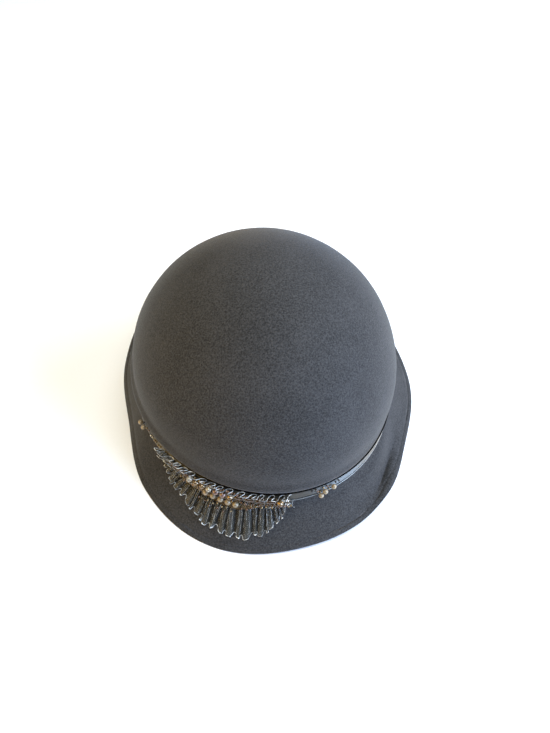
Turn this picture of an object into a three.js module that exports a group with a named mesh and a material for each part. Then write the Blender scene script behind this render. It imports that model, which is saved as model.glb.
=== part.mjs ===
// A cloche hat, pressed from one piece of grey felt, with a satin band and a fan of organza and beads.
// Millimetres, +Z up. The wearer looks along -Y, and +X is the wearer's left. The brim's edge rests on Z = 0.
// A bearing is measured round the head, in degrees: 0 at the front, 90 at the wearer's left, 180 at the back.
// A station is a place down the felt: 0 the tip, 1 the top of the band, 2 its bottom and 3 the brim's edge.
import * as THREE from "three";

// The felt, whose inside has the shape of the block that it is pressed on.
const headLength = 191;
const headWidth = 170;
const crownRise = 94.5; // from the top of the band up to the tip
const crownRoundness = 2.0; // exponent of the side outline: 2 is an ellipse, and more is squarer
const crownSwell = 2.8; // how far the crown stands out past the head opening
const swellRise = 36; // height above the band at which it is widest
const crownLeanLeft = 4; // how far the tip lies from the middle of the head opening
const crownLeanFront = 11;
const brimFall = 28; // from the bottom of the band down to the rest plane
const brimReach = 36;
const brimWave = 9; // the most that the free edge lifts off the rest plane
const brimHollow = 6; // the most that the brim sags between the break and its edge
const dentDepth = 6; // of the deepest fold pressed into the brim
const breakDrop = 4; // upright felt below the band, before the brim turns outwards
const feltWall = 2.5;
const edgeRound = 0.7; // how far the cut edge bulges
const settle = 1.2; // depth of felt that is pressed flat where the edge rests
const footShare = 0.96; // where the flat foot starts, as a share of the brim

// The satin band and its corded edge.
const bandHeight = 12.5;
const bandThick = 0.9;
const pipingRadius = 0.7;

// The gathered organza.
const organzaThick = 1;
const fanPleats = 20;
const fanPleatHeight = 2.4;
const crownPleats = 16;
const crownPleatHeight = 2;
const fanFlat = 0.5; // how far out the fan is sewn down flat, as a share of its width
const scallop = 0.07; // how far the hollows of a free edge are cut back, as a share of the ruffle's width
const layStart = 2.02; // the stations between which a ruffle comes down from the band on to the brim
const layEnd = 2.25;

// Beads.
const pearlSize = 4;
const smallPearlSize = 3.4;
const crystalSize = 4.2;
const crystalTable = 2.1; // across each flat end
const crystalLength = 3.6;
const bugleLength = 5.6;
const bugleSize = 2.4;
const beadReach = 0.12; // how far a bead on the fan spreads, as a share of the fan's width
const threadGap = 1; // bare thread between two beads of a row

const clearance = 0.3; // between pieces that are sewn against each other

const columns = 60;
const crownRows = 11;
const seatRows = 1;
const brimRows = 7;
const pleatSteps = 4; // columns in each pleat
const fanRows = 6;
const crownRuffleRows = 3;
const beadSides = 10;
const beadRings = 6;
const pipingSides = 5;
const stationStep = 0.01; // the small steps by which a surface's direction is felt out
const rowStep = 0.002;

// One row each 30 degrees. Reach is a share of brimReach, lift of brimWave and hollow of brimHollow.
const brimStations = [
  { bearing: 0, reach: 0.64, lift: 0.25, hollow: 0.0 },
  { bearing: 30, reach: 0.67, lift: 0.5, hollow: 0.1 },
  { bearing: 60, reach: 0.58, lift: 0.55, hollow: 0.3 },
  { bearing: 90, reach: 0.86, lift: 0.0, hollow: 0.6 },
  { bearing: 120, reach: 1.0, lift: 0.6, hollow: 0.9 },
  { bearing: 150, reach: 1.0, lift: 1.0, hollow: 1.0 },
  { bearing: 180, reach: 0.95, lift: 1.0, hollow: 1.0 },
  { bearing: 210, reach: 0.87, lift: 0.6, hollow: 0.6 },
  { bearing: 240, reach: 0.52, lift: 0.0, hollow: 0.1 },
  { bearing: 270, reach: 0.27, lift: 0.0, hollow: 0.0 },
  { bearing: 300, reach: 0.54, lift: 0.0, hollow: 0.0 },
  { bearing: 330, reach: 0.72, lift: 0.0, hollow: 0.0 },
];

// Soft folds pressed into the brim. Spread is in degrees, place and width are shares of the way from break
// to edge, and depth is a share of dentDepth, less than 0 for a ridge.
const brimFolds = [
  { bearing: 42, spread: 18, place: 0.74, width: 0.2, depth: 1.0 },
  { bearing: 18, spread: 7, place: 0.55, width: 0.4, depth: -0.25 },
];

// The ruffles' edges, by even steps along them. The fan lies on the brim, from right to left as worn, and the
// other one stands against the crown, from left to right.
const fanEdges = {
  sewn: [
    { bearing: -57, station: 1.6 },
    { bearing: -50, station: 1.45 },
    { bearing: -42, station: 1.36 },
    { bearing: -33, station: 1.34 },
    { bearing: -24, station: 1.34 },
    { bearing: -14, station: 1.38 },
    { bearing: -5, station: 1.45 },
  ],
  free: [
    { bearing: -61.5, station: 2.1 },
    { bearing: -55, station: 2.42 },
    { bearing: -45, station: 2.6 },
    { bearing: -34, station: 2.74 },
    { bearing: -22, station: 2.81 },
    { bearing: -10, station: 2.6 },
    { bearing: -3, station: 2.05 },
  ],
};
const crownEdges = {
  sewn: [
    { bearing: -5, station: 1.25 },
    { bearing: -19, station: 1.18 },
    { bearing: -33, station: 1.16 },
    { bearing: -47, station: 1.22 },
    { bearing: -60, station: 1.4 },
  ],
  free: [
    { bearing: -4, station: 1.02 },
    { bearing: -18, station: 0.93 },
    { bearing: -33, station: 0.92 },
    { bearing: -48, station: 0.96 },
    { bearing: -61, station: 1.12 },
  ],
};

// The main beads, threaded in rows over the fan. A row starts at a share along it, and lies at a share of its
// width out from the sewn edge.
const fanRowsOfBeads = [
  {
    start: 0.29,
    out: 0.05,
    beads: [...Array(7).fill("crystal"), ...Array(4).fill("bugle"), "crystal"],
  },
  { start: 0.44, out: 0.62, beads: Array(5).fill("pearl") },
];

// The small clusters on the band. Up is a share of its height, and the beads lie across and above that place
// by multiples of their own pitch.
const bandClusters = [
  {
    kind: "small_pearl",
    bearing: -77,
    up: 0.3,
    beads: [
      { across: 0, above: 0 },
      { across: 1.4, above: 0.3 },
    ],
  },
  {
    kind: "small_pearl",
    bearing: 10,
    up: 0.45,
    beads: [
      { across: 0, above: 0 },
      { across: 1.6, above: 0.5 },
      { across: -0.7, above: -0.85 },
    ],
  },
];

const radians = THREE.MathUtils.degToRad;
const smoothstep = THREE.MathUtils.smoothstep;

// A smooth curve through a table's columns, closed on itself for one that goes round the head.
function curveThrough(rows, [a, b, c], closed = false) {
  const points = rows.map((row) => new THREE.Vector3(row[a], row[b], c ? row[c] : 0));
  return new THREE.CatmullRomCurve3(points, closed, "catmullrom");
}

const brimCurve = curveThrough(brimStations, ["reach", "lift", "hollow"], true);

// The brim's reach, the height of its edge and its sag, in millimetres, at a bearing.
function brimSizes(bearing) {
  const share = brimCurve.getPoint(THREE.MathUtils.euclideanModulo(bearing, 360) / 360);
  return {
    reach: brimReach * share.x,
    edge: brimWave * Math.max(0, share.y) - settle,
    sag: brimHollow * share.z,
  };
}

// How far the folds press the brim down at a bearing and share of its width.
function foldDepth(bearing, share) {
  return brimFolds.reduce((sum, fold) => {
    const away = THREE.MathUtils.euclideanModulo(bearing - fold.bearing + 180, 360) - 180;
    const along = (away / fold.spread) ** 2;
    const across = ((share - fold.place) / fold.width) ** 2;
    return sum + dentDepth * fold.depth * Math.exp(-along - across);
  }, 0);
}

// A point beside the head opening's oval, out millimetres outside it.
function besideHead(bearing, out, z) {
  const a = radians(bearing);
  const halfWidth = headWidth / 2;
  const halfLength = headLength / 2;
  const away = new THREE.Vector2(Math.sin(a) / halfWidth, -Math.cos(a) / halfLength).normalize();
  return new THREE.Vector3(
    halfWidth * Math.sin(a) + away.x * out,
    -halfLength * Math.cos(a) + away.y * out,
    z,
  );
}

const seatTop = brimFall + bandHeight;

// The inside of the crown: share 0 is its tip and share 1 the top of the band.
function crownInside(bearing, share) {
  const turn = (share * Math.PI) / 2;
  const rise = crownRise * Math.cos(turn) ** (2 / crownRoundness);
  const girth = Math.sin(turn) ** (2 / crownRoundness);
  const swell = crownSwell * (1 - Math.max(0, 1 - rise / swellRise) ** 2);
  const rim = besideHead(bearing, swell, 0);
  const lean = (rise / crownRise) ** 2;
  return new THREE.Vector3(
    rim.x * girth + crownLeanLeft * lean,
    rim.y * girth - crownLeanFront * lean,
    seatTop + rise,
  );
}

// The underside of the brim: share 0 is the bottom of the band and share 1 the edge.
function brimInside(bearing, share) {
  const { reach, edge, sag } = brimSizes(bearing);
  const breakHeight = brimFall - breakDrop;
  const profile = new THREE.CubicBezierCurve(
    new THREE.Vector2(0, brimFall),
    new THREE.Vector2(0, breakHeight),
    new THREE.Vector2(reach / 2, (breakHeight + edge) / 2 - sag),
    new THREE.Vector2(reach, edge),
  );
  const p = profile.getPoint(share);
  return besideHead(bearing, p.x, p.y - foldDepth(bearing, share));
}

// The whole inside surface.
function feltInside(bearing, station) {
  if (station <= 1) return crownInside(bearing, station);
  if (station <= 2) return besideHead(bearing, 0, seatTop - bandHeight * (station - 1));
  return brimInside(bearing, station - 2);
}

// The outward direction of the felt there.
function feltNormal(bearing, station) {
  const s = THREE.MathUtils.clamp(station, stationStep, 3 - stationStep);
  const across = feltInside(bearing + 1, s).sub(feltInside(bearing - 1, s));
  const down = feltInside(bearing, s + stationStep).sub(feltInside(bearing, s - stationStep));
  return down.cross(across).normalize();
}

// A point on or above the outside of the felt.
function onFelt(bearing, station, proud = 0) {
  return feltInside(bearing, station).addScaledVector(
    feltNormal(bearing, station),
    feltWall + proud,
  );
}

// A closed body from rings of points. Each ring joins the next. The last joins the first, or both ends close
// on a tip.
function bodyFromRings(rings, { tips = null } = {}) {
  const count = rings[0].length;
  const positions = rings.flat().flatMap((p) => [p.x, p.y, p.z]);
  const faces = [];
  const joins = tips ? rings.length - 1 : rings.length;
  for (let r = 0; r < joins; r++)
    for (let c = 0; c < count; c++) {
      const a = r * count + c;
      const b = r * count + ((c + 1) % count);
      const over = ((r + 1) % rings.length) * count - r * count;
      faces.push(a, a + over, b, b, a + over, b + over);
    }
  if (tips) {
    const first = positions.length / 3;
    positions.push(...tips[0].toArray(), ...tips[1].toArray());
    const last = (rings.length - 1) * count;
    for (let c = 0; c < count; c++) {
      const d = (c + 1) % count;
      faces.push(first, c, d);
      faces.push(first + 1, last + d, last + c);
    }
  }
  const geometry = new THREE.BufferGeometry();
  geometry.setAttribute("position", new THREE.Float32BufferAttribute(positions, 3));
  geometry.setIndex(faces);
  return geometry;
}

const bearings = Array.from({ length: columns }, (_, c) => (c * 360) / columns);

// Crown and brim, one pressed shell.
function feltBody() {
  const stations = [];
  for (let r = 1; r <= crownRows; r++) stations.push(r / crownRows);
  for (let r = 1; r <= seatRows; r++) stations.push(1 + r / seatRows);
  for (let r = 1; r <= brimRows; r++) stations.push(2 + (footShare * r) / brimRows);
  stations.push(3);
  const flatten = (p) => p.setZ(Math.max(0, p.z));
  const outside = stations.map((s) => bearings.map((b) => flatten(onFelt(b, s))));
  const inside = stations.map((s) => bearings.map((b) => flatten(feltInside(b, s))));
  const edge = bearings.map((b) => {
    const middle = onFelt(b, 3, -feltWall / 2);
    const outwards = onFelt(b, 3).sub(onFelt(b, 3 - stationStep)).normalize();
    return flatten(middle.addScaledVector(outwards, edgeRound));
  });
  const rings = [...outside, edge, ...inside.reverse()];
  return bodyFromRings(rings, { tips: [onFelt(0, 0), feltInside(0, 0)] });
}

// A ring of cloth round the head opening. Its section's points lie out from the felt, and up from the brim.
function ringRoundHead(section) {
  const rings = section.map(({ out, up }) =>
    bearings.map((b) => besideHead(b, feltWall + clearance + out, brimFall + up)),
  );
  return bodyFromRings(rings);
}

const bandFoot = 2 * pipingRadius + clearance;
const bandSection = [
  { out: 0, up: bandFoot },
  { out: 0, up: bandHeight },
  { out: bandThick, up: bandHeight },
  { out: bandThick, up: bandFoot },
];

const pipingSection = Array.from({ length: pipingSides }, (_, k) => {
  const a = (-k * 2 * Math.PI) / pipingSides;
  return {
    out: pipingRadius + pipingRadius * Math.cos(a),
    up: pipingRadius + pipingRadius * Math.sin(a),
  };
});

// A closed sheet between an upper and an under grid of points.
function bodyFromSheets(upper, under) {
  const rows = upper.length;
  const count = upper[0].length;
  const positions = [...upper.flat(), ...under.flat()].flatMap((p) => p.toArray());
  const faces = [];
  const quad = (a, b, c, d) => faces.push(a, c, b, a, d, c);
  const top = (r, c) => r * count + c;
  const low = (r, c) => (rows + r) * count + c;
  for (let r = 0; r < rows - 1; r++)
    for (let c = 0; c < count - 1; c++) {
      quad(top(r, c), top(r + 1, c), top(r + 1, c + 1), top(r, c + 1));
      quad(low(r, c), low(r, c + 1), low(r + 1, c + 1), low(r + 1, c));
    }
  for (let r = 0; r < rows - 1; r++) {
    quad(top(r + 1, 0), top(r, 0), low(r, 0), low(r + 1, 0));
    quad(top(r, count - 1), top(r + 1, count - 1), low(r + 1, count - 1), low(r, count - 1));
  }
  for (let c = 0; c < count - 1; c++) {
    quad(top(0, c), top(0, c + 1), low(0, c + 1), low(0, c));
    quad(top(rows - 1, c + 1), top(rows - 1, c), low(rows - 1, c), low(rows - 1, c + 1));
  }
  const geometry = new THREE.BufferGeometry();
  geometry.setAttribute("position", new THREE.Float32BufferAttribute(positions, 3));
  geometry.setIndex(faces);
  return geometry;
}

// How far what lies on the band stands off the felt.
const overBand = 2 * clearance + Math.max(bandThick, 2 * pipingRadius);

// A ruffle. Along runs from its first row to its last, and out from the sewn edge to the free one.
function ruffle({ edges, pleats, pleatHeight, flatShare }) {
  const sewn = curveThrough(edges.sewn, ["bearing", "station"]);
  const free = curveThrough(edges.free, ["bearing", "station"]);
  const restOf = (station) =>
    THREE.MathUtils.lerp(overBand, clearance, smoothstep(station, layStart, layEnd));
  function placeOf(along, out) {
    const within = THREE.MathUtils.clamp(along, 0, 1);
    const place = sewn.getPoint(within).lerp(free.getPoint(within), out);
    const span = sewn.getPoint(1).x - sewn.getPoint(0).x;
    place.x += (along - within) * span;
    return place;
  }
  const riseOf = (out) => pleatHeight * smoothstep(out, flatShare, 1);

  // A point of its cloth: proud is 0 on the under side and organzaThick on the upper one.
  function sheet(along, out, proud) {
    const crest = (1 - Math.cos(2 * Math.PI * pleats * along)) / 2;
    const place = placeOf(along, out * (1 - scallop * (1 - crest)));
    return onFelt(place.x, place.y, restOf(place.y) + riseOf(out) * crest + proud);
  }

  // The centre of a bead that lies on the crests.
  function seat(along, out, size) {
    const place = placeOf(along, out);
    const crestHeight = restOf(place.y) + riseOf(out + beadReach) + organzaThick;
    return onFelt(place.x, place.y, crestHeight + clearance + size / 2);
  }
  return { sheet, seat, pleats };
}

const fan = ruffle({
  edges: fanEdges,
  pleats: fanPleats,
  pleatHeight: fanPleatHeight,
  flatShare: fanFlat,
});
const crownRuffle = ruffle({
  edges: crownEdges,
  pleats: crownPleats,
  pleatHeight: crownPleatHeight,
  flatShare: 0,
});

function ruffleBody({ sheet, pleats }, rows) {
  const steps = pleats * pleatSteps;
  const grid = (proud) =>
    Array.from({ length: steps + 1 }, (_, c) =>
      Array.from({ length: rows + 1 }, (_, r) => sheet(c / steps, r / rows, proud)),
    );
  return bodyFromSheets(grid(organzaThick), grid(0));
}

const organza = new THREE.MeshStandardMaterial({ color: 0x6b6a66, roughness: 0.5 });
const feltCloth = new THREE.MeshStandardMaterial({ color: 0x4a4a4c, roughness: 0.95 });
const satin = new THREE.MeshStandardMaterial({ color: 0x8b97a3, roughness: 0.35 });
const pearl = new THREE.MeshStandardMaterial({ color: 0xd8c9a6, roughness: 0.25 });
const crystal = new THREE.MeshStandardMaterial({ color: 0xc08a52, roughness: 0.1 });
const brownGlass = new THREE.MeshStandardMaterial({ color: 0x6b4325, roughness: 0.15 });

// A cut bead: a ring of facets on each side of its girdle, and a flat table at each end.
function crystalShape() {
  const profile = [
    new THREE.Vector2(0, -crystalLength / 2),
    new THREE.Vector2(crystalTable / 2, -crystalLength / 2),
    new THREE.Vector2(crystalSize / 2, 0),
    new THREE.Vector2(crystalTable / 2, crystalLength / 2),
    new THREE.Vector2(0, crystalLength / 2),
  ];
  return new THREE.LatheGeometry(profile, beadSides);
}

function pearlShape(size) {
  return new THREE.SphereGeometry(size / 2, beadSides, beadRings);
}

function bugleShape() {
  return new THREE.CylinderGeometry(bugleSize / 2, bugleSize / 2, bugleLength, beadSides);
}

const beadKinds = {
  pearl: { size: pearlSize, length: pearlSize, shape: pearlShape(pearlSize), material: pearl },
  small_pearl: {
    size: smallPearlSize,
    length: smallPearlSize,
    shape: pearlShape(smallPearlSize),
    material: pearl,
  },
  crystal: { size: crystalSize, length: crystalLength, shape: crystalShape(), material: crystal },
  bugle: { size: bugleSize, length: bugleLength, shape: bugleShape(), material: brownGlass },
};

const hat = new THREE.Group();
function add(name, geometry, material) {
  const mesh = new THREE.Mesh(geometry, material);
  mesh.name = name;
  hat.add(mesh);
  return mesh;
}

// A bead of one kind, whose thread runs along a direction.
const beadCount = {};
function addBead(kind, centre, threadWay) {
  const { shape, material } = beadKinds[kind];
  beadCount[kind] = (beadCount[kind] ?? 0) + 1;
  const bead = add(`${kind}_${beadCount[kind]}`, shape, material);
  bead.position.copy(centre);
  bead.quaternion.setFromUnitVectors(new THREE.Vector3(0, 1, 0), threadWay.normalize());
}

// A row of beads on the fan, each as near the last as the thread between them lets it lie.
function addFanRow({ start, out, beads }) {
  let along = start;
  let last = null;
  for (const kind of beads) {
    const { size, length } = beadKinds[kind];
    const near = (last ? (length + last.length) / 2 : 0) + threadGap;
    while (last && fan.seat(along, out, size).distanceTo(last.centre) < near) along += rowStep;
    const centre = fan.seat(along, out, size);
    const ahead = fan.seat(along + rowStep, out, size);
    const behind = fan.seat(along - rowStep, out, size);
    addBead(kind, centre, ahead.sub(behind));
    last = { centre, length };
  }
}

function addCluster({ kind, bearing, up, beads }) {
  const { size } = beadKinds[kind];
  const pitch = size + clearance;
  const out = feltWall + overBand + size / 2;
  const degree = besideHead(bearing, out, 0).distanceTo(besideHead(bearing + 1, out, 0));
  for (const { across, above } of beads) {
    const place = bearing + (across * pitch) / degree;
    const height = brimFall + up * bandHeight + above * pitch;
    const threadWay = besideHead(place + 1, out, height).sub(besideHead(place - 1, out, height));
    addBead(kind, besideHead(place, out, height), threadWay);
  }
}

add("felt_crown_and_brim", feltBody(), feltCloth);
add("satin_band", ringRoundHead(bandSection), satin);
add("band_piping", ringRoundHead(pipingSection), satin);
add("fan_ruffle", ruffleBody(fan, fanRows), organza);
add("crown_ruffle", ruffleBody(crownRuffle, crownRuffleRows), organza);

fanRowsOfBeads.forEach(addFanRow);
bandClusters.forEach(addCluster);

// The middle of the whole hat stands over the origin.
const span = new THREE.Box3().setFromObject(hat);
const middle = span.getCenter(new THREE.Vector3());
hat.position.set(-middle.x, -middle.y, 0);

export default hat;
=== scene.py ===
"""A grey felt cloche hat: felt, satin band, organza fan and beads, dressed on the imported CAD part."""

import math
import random

import bmesh
import bpy
from mathutils import Matrix, Vector, noise


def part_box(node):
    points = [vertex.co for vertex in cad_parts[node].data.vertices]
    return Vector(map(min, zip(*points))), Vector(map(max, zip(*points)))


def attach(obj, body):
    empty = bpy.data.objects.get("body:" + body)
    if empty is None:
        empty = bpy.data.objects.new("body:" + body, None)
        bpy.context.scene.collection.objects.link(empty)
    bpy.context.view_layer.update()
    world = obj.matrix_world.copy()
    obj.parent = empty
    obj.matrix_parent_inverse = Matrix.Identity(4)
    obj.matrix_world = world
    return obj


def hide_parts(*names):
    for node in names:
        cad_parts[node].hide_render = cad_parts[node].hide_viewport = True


bl_info = {
    "name": "Felt cloche hat",
    "version": (1, 0, 0),
    "blender": (4, 5, 0),
    "location": "View3D > Sidebar > Hat",
    "description": "Dresses a cloche hat with felt, a satin band, organza ruffles and beads",
    "category": "Object",
}

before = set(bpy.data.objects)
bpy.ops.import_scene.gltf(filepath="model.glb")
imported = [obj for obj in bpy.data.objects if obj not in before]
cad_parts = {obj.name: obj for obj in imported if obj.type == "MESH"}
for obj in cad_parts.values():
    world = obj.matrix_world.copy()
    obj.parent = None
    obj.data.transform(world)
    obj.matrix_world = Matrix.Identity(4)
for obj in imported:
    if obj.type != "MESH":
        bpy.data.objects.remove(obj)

MM = 0.001
BODY = "root"
FELT = "felt_crown_and_brim"

# The felt's block, the band and their clearance, in millimetres, as the CAD part has them.
HEAD_LENGTH = 191.0
HEAD_WIDTH = 170.0
CROWN_RISE = 94.5
CROWN_SWELL = 2.8
SWELL_RISE = 36.0
CROWN_LEAN_LEFT = 4.0
CROWN_LEAN_FRONT = 11.0
BRIM_FALL = 28.0
BRIM_REACH = 36.0
BRIM_WAVE = 9.0
BRIM_HOLLOW = 6.0
DENT_DEPTH = 6.0
BREAK_DROP = 4.0
FELT_WALL = 2.5
SETTLE = 1.2
BAND_HEIGHT = 12.5
BAND_THICK = 0.9
PIPING_RADIUS = 0.7
CLEARANCE = 0.3

# Stations between which a ruffle comes down from over the band to the brim.
LAY_START = 2.02
LAY_END = 2.25

# What the dressed band has beside the CAD one's sizes, in millimetres.
BAND_HEM = 1.9
RIBBON_THICK = 0.22
# The thin near-black cord along the band's top is painted shadow, for the shade under the felt's swell.
SHADOW_CORD_RADIUS = 0.45

# One row each 30 degrees round the head: reach, lift and hollow, as shares.
BRIM_STATIONS = (
    (0.64, 0.25, 0.0),
    (0.67, 0.5, 0.1),
    (0.58, 0.55, 0.3),
    (0.86, 0.0, 0.6),
    (1.0, 0.6, 0.9),
    (1.0, 1.0, 1.0),
    (0.95, 1.0, 1.0),
    (0.87, 0.6, 0.6),
    (0.52, 0.0, 0.1),
    (0.27, 0.0, 0.0),
    (0.54, 0.0, 0.0),
    (0.72, 0.0, 0.0),
)

# Bearing, spread in degrees, place and width across the brim, and depth.
BRIM_FOLDS = (
    (42, 18, 0.74, 0.2, 1.0),
    (18, 7, 0.55, 0.4, -0.25),
)

# The gutter behind the brim's lip at the wearer's left front: bearing and spread in degrees, its place
# across the brim, and how much of the brim that place moves by for each degree.
GUTTER_BEARING = 43
GUTTER_SPREAD = 14
GUTTER_PLACE = 0.70
GUTTER_SLANT = 0.009

# Its hollow, its lip and the ridge behind it: distance from that place, width, and depth in millimetres.
GUTTER_FORMS = (
    (0.0, 0.13, 1.9),
    (0.21, 0.11, -1.9),
    (-0.26, 0.12, -0.9),
)

# The fine line that is pressed into the brim's face along its edge, in millimetres.
EDGE_LINE_DEPTH = 0.8
EDGE_LINE_INSET = 2.0
EDGE_LINE_WIDTH = 0.55

# The ruffles' edges: bearing and station, by even steps along them.
FAN_SEWN = (
    (-57, 1.6),
    (-50, 1.45),
    (-42, 1.36),
    (-33, 1.34),
    (-24, 1.34),
    (-14, 1.38),
    (-5, 1.45),
)
FAN_FREE = (
    (-61.5, 2.1),
    (-55, 2.42),
    (-45, 2.6),
    (-34, 2.74),
    (-22, 2.81),
    (-10, 2.6),
    (-3, 2.05),
)
CROWN_SEWN = ((-5, 1.66), (-19, 1.64), (-33, 1.63), (-47, 1.66), (-60, 1.76))
CROWN_FREE = ((-4, 1.12), (-18, 1.07), (-33, 1.06), (-48, 1.08), (-61, 1.22))

# How high the fan's pleats stand over their valleys: share out from the sewn edge, and millimetres.
FAN_HEIGHTS = ((0.0, 0.5), (0.2, 0.9), (0.62, 1.5), (0.85, 2.1), (1.0, 2.2))

SEAT_TOP = BRIM_FALL + BAND_HEIGHT
OVER_BAND = 2 * CLEARANCE + max(BAND_THICK, 2 * PIPING_RADIUS)


# Where things are on the hat. A bearing is in degrees: 0 at the front, 90 at the wearer's left.
# A station runs down the felt: 0 the tip, 1 the top of the band, 2 its bottom, 3 the brim's edge.


def middle_of_head():
    """The head opening's middle in the frame, which is the satin band's."""
    low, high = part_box("satin_band")
    return (low + high) / 2 / MM


HEAD_X, HEAD_Y, _ = middle_of_head()


def smooth(value, low, high):
    """0 below low, 1 over high, and an even way between them."""
    t = min(1.0, max(0.0, (value - low) / (high - low)))
    return t * t * (3 - 2 * t)


def hump(away, spread):
    """1 in the middle of a smooth hump, and near 0 at twice its spread."""
    return math.exp(-((away / spread) ** 2))


def turn_from(at, bearing):
    """The turn from one bearing to another, from -180 to 180 degrees."""
    return (bearing - at + 180) % 360 - 180


def between(rows, value):
    """A table's second column where its first one is value."""
    for (x0, y0), (x1, y1) in zip(rows, rows[1:]):
        if value <= x1:
            return y0 + (y1 - y0) * max(0.0, (value - x0) / (x1 - x0))
    return rows[-1][1]


def through(rows, at, closed=False):
    """A smooth curve through a table's rows, for at from 0 to 1."""
    count = len(rows)
    place = at * (count if closed else count - 1)
    first = math.floor(place) if closed else min(max(int(place), 0), count - 2)
    t = place - first

    def row(k):
        if closed:
            return rows[k % count]
        if k < 0:
            return [2 * a - b for a, b in zip(rows[0], rows[1])]
        if k >= count:
            return [2 * a - b for a, b in zip(rows[-1], rows[-2])]
        return rows[k]

    made = []
    for a, b, c, d in zip(row(first - 1), row(first), row(first + 1), row(first + 2)):
        start, end = (c - a) / 2, (d - b) / 2
        square = -3 * b + 3 * c - 2 * start - end
        made.append(b + start * t + square * t * t + (2 * b - 2 * c + start + end) * t**3)
    return made


def fold_depth(bearing, share):
    """How far the folds press the brim down."""
    depth = 0.0
    for at, spread, place, width, deep in BRIM_FOLDS:
        depth += DENT_DEPTH * deep * hump(turn_from(at, bearing), spread) * hump(share - place, width)
    return depth


def gutter_depth(bearing, share):
    """The narrow gutter that runs slantwise behind the brim's lip at the wearer's left front."""
    away = turn_from(GUTTER_BEARING, bearing)
    across = share - GUTTER_PLACE + GUTTER_SLANT * away
    forms = sum(deep * hump(across - place, width) for place, width, deep in GUTTER_FORMS)
    return hump(away, GUTTER_SPREAD) * forms


def edge_line_depth(bearing, share):
    """The fine line that is pressed into the brim's face just inside its edge."""
    reach = BRIM_REACH * through(BRIM_STATIONS, (bearing % 360) / 360, closed=True)[0]
    return EDGE_LINE_DEPTH * hump((1 - share) * reach - EDGE_LINE_INSET, EDGE_LINE_WIDTH)


def beside_head(bearing, out, height):
    """A point beside the head opening's oval, in millimetres from its middle."""
    a = math.radians(bearing)
    wide, long = HEAD_WIDTH / 2, HEAD_LENGTH / 2
    away = Vector((math.sin(a) / wide, -math.cos(a) / long)).normalized() * out
    return Vector((wide * math.sin(a) + away.x, -long * math.cos(a) + away.y, height))


def felt_inside(bearing, station):
    """A point of the felt's inside, in millimetres."""
    if station <= 1:
        turn = max(0.0, station) * math.pi / 2
        rise = CROWN_RISE * math.cos(turn)
        swell = CROWN_SWELL * (1 - max(0.0, 1 - rise / SWELL_RISE) ** 2)
        rim = beside_head(bearing, swell, 0) * math.sin(turn)
        lean = (rise / CROWN_RISE) ** 2
        return Vector((rim.x + CROWN_LEAN_LEFT * lean, rim.y - CROWN_LEAN_FRONT * lean, SEAT_TOP + rise))
    if station <= 2:
        return beside_head(bearing, 0, SEAT_TOP - BAND_HEIGHT * (station - 1))
    share = min(1.0, station - 2)
    reach, lift, hollow = through(BRIM_STATIONS, (bearing % 360) / 360, closed=True)
    reach *= BRIM_REACH
    edge = BRIM_WAVE * max(0.0, lift) - SETTLE
    foot = BRIM_FALL - BREAK_DROP
    sag = (foot + edge) / 2 - BRIM_HOLLOW * hollow
    t, u = share, 1 - share
    across = 3 * u * t * t * reach / 2 + t**3 * reach
    height = u**3 * BRIM_FALL + 3 * u * u * t * foot + 3 * u * t * t * sag + t**3 * edge
    return beside_head(bearing, across, height - fold_depth(bearing, share))


def on_felt(bearing, station, proud=0.0):
    """A point on or above the outside of the felt, in the frame's metres."""
    step = 0.01
    s = min(3 - step, max(step, station))
    across = felt_inside(bearing + 1, s) - felt_inside(bearing - 1, s)
    down = felt_inside(bearing, s + step) - felt_inside(bearing, s - step)
    point = felt_inside(bearing, station) + down.cross(across).normalized() * (FELT_WALL + proud)
    return in_frame(point)


def in_frame(point):
    return Vector((point.x + HEAD_X, point.y + HEAD_Y, point.z)) * MM


def on_band(bearing, height, proud):
    """A point that stands proud of the felt beside the band, height millimetres over the band's foot."""
    return in_frame(beside_head(bearing, FELT_WALL + proud, BRIM_FALL + height))


def rest_height(station):
    """How far a ruffle's under side stands off the felt."""
    return OVER_BAND + (CLEARANCE - OVER_BAND) * smooth(station, LAY_START, LAY_END)


def ruffle_place(sewn, free, along, out):
    """Bearing and station of a place on a ruffle."""
    within = min(1.0, max(0.0, along))
    a, b = through(sewn, within), through(free, within)
    bearing = a[0] + (b[0] - a[0]) * out + (along - within) * (sewn[-1][0] - sewn[0][0])
    return bearing, a[1] + (b[1] - a[1]) * out


def pleat_wave(phase, loop, narrow):
    """A pleat's shift along the ruffle, in pleats, and its height from 0 to 1."""
    turn = 2 * math.pi * phase
    shift = (loop * math.sin(2 * turn) - narrow * math.sin(turn)) / (2 * math.pi)
    crest = (1 - math.cos(turn)) / 2
    return shift, 1 - (1 - crest) ** 1.6


def wander(*place):
    """A smooth value from -1 to 1 that is the same in each run."""
    return noise.noise(Vector(place))


# Modelling.


def select_only(*pieces):
    bpy.ops.object.select_all(action="DESELECT")
    for piece in pieces:
        piece.select_set(True)
    bpy.context.view_layer.objects.active = pieces[0]


def editing(piece, *steps):
    """Runs edit-mode steps on all of one piece."""
    select_only(piece)
    bpy.ops.object.mode_set(mode="EDIT")
    bpy.ops.mesh.select_all(action="SELECT")
    for step in steps:
        step()
    bpy.ops.object.mode_set(mode="OBJECT")


def merge_points():
    bpy.ops.mesh.remove_doubles(threshold=0.002 * MM)


def face_out():
    bpy.ops.mesh.normals_make_consistent(inside=False)


def finish_with(piece, kind, **settings):
    """Adds one modifier and applies it."""
    select_only(piece)
    modifier = piece.modifiers.new(kind.title(), kind)
    for name, value in settings.items():
        setattr(modifier, name, value)
    bpy.ops.object.modifier_apply(modifier=modifier.name)


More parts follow.
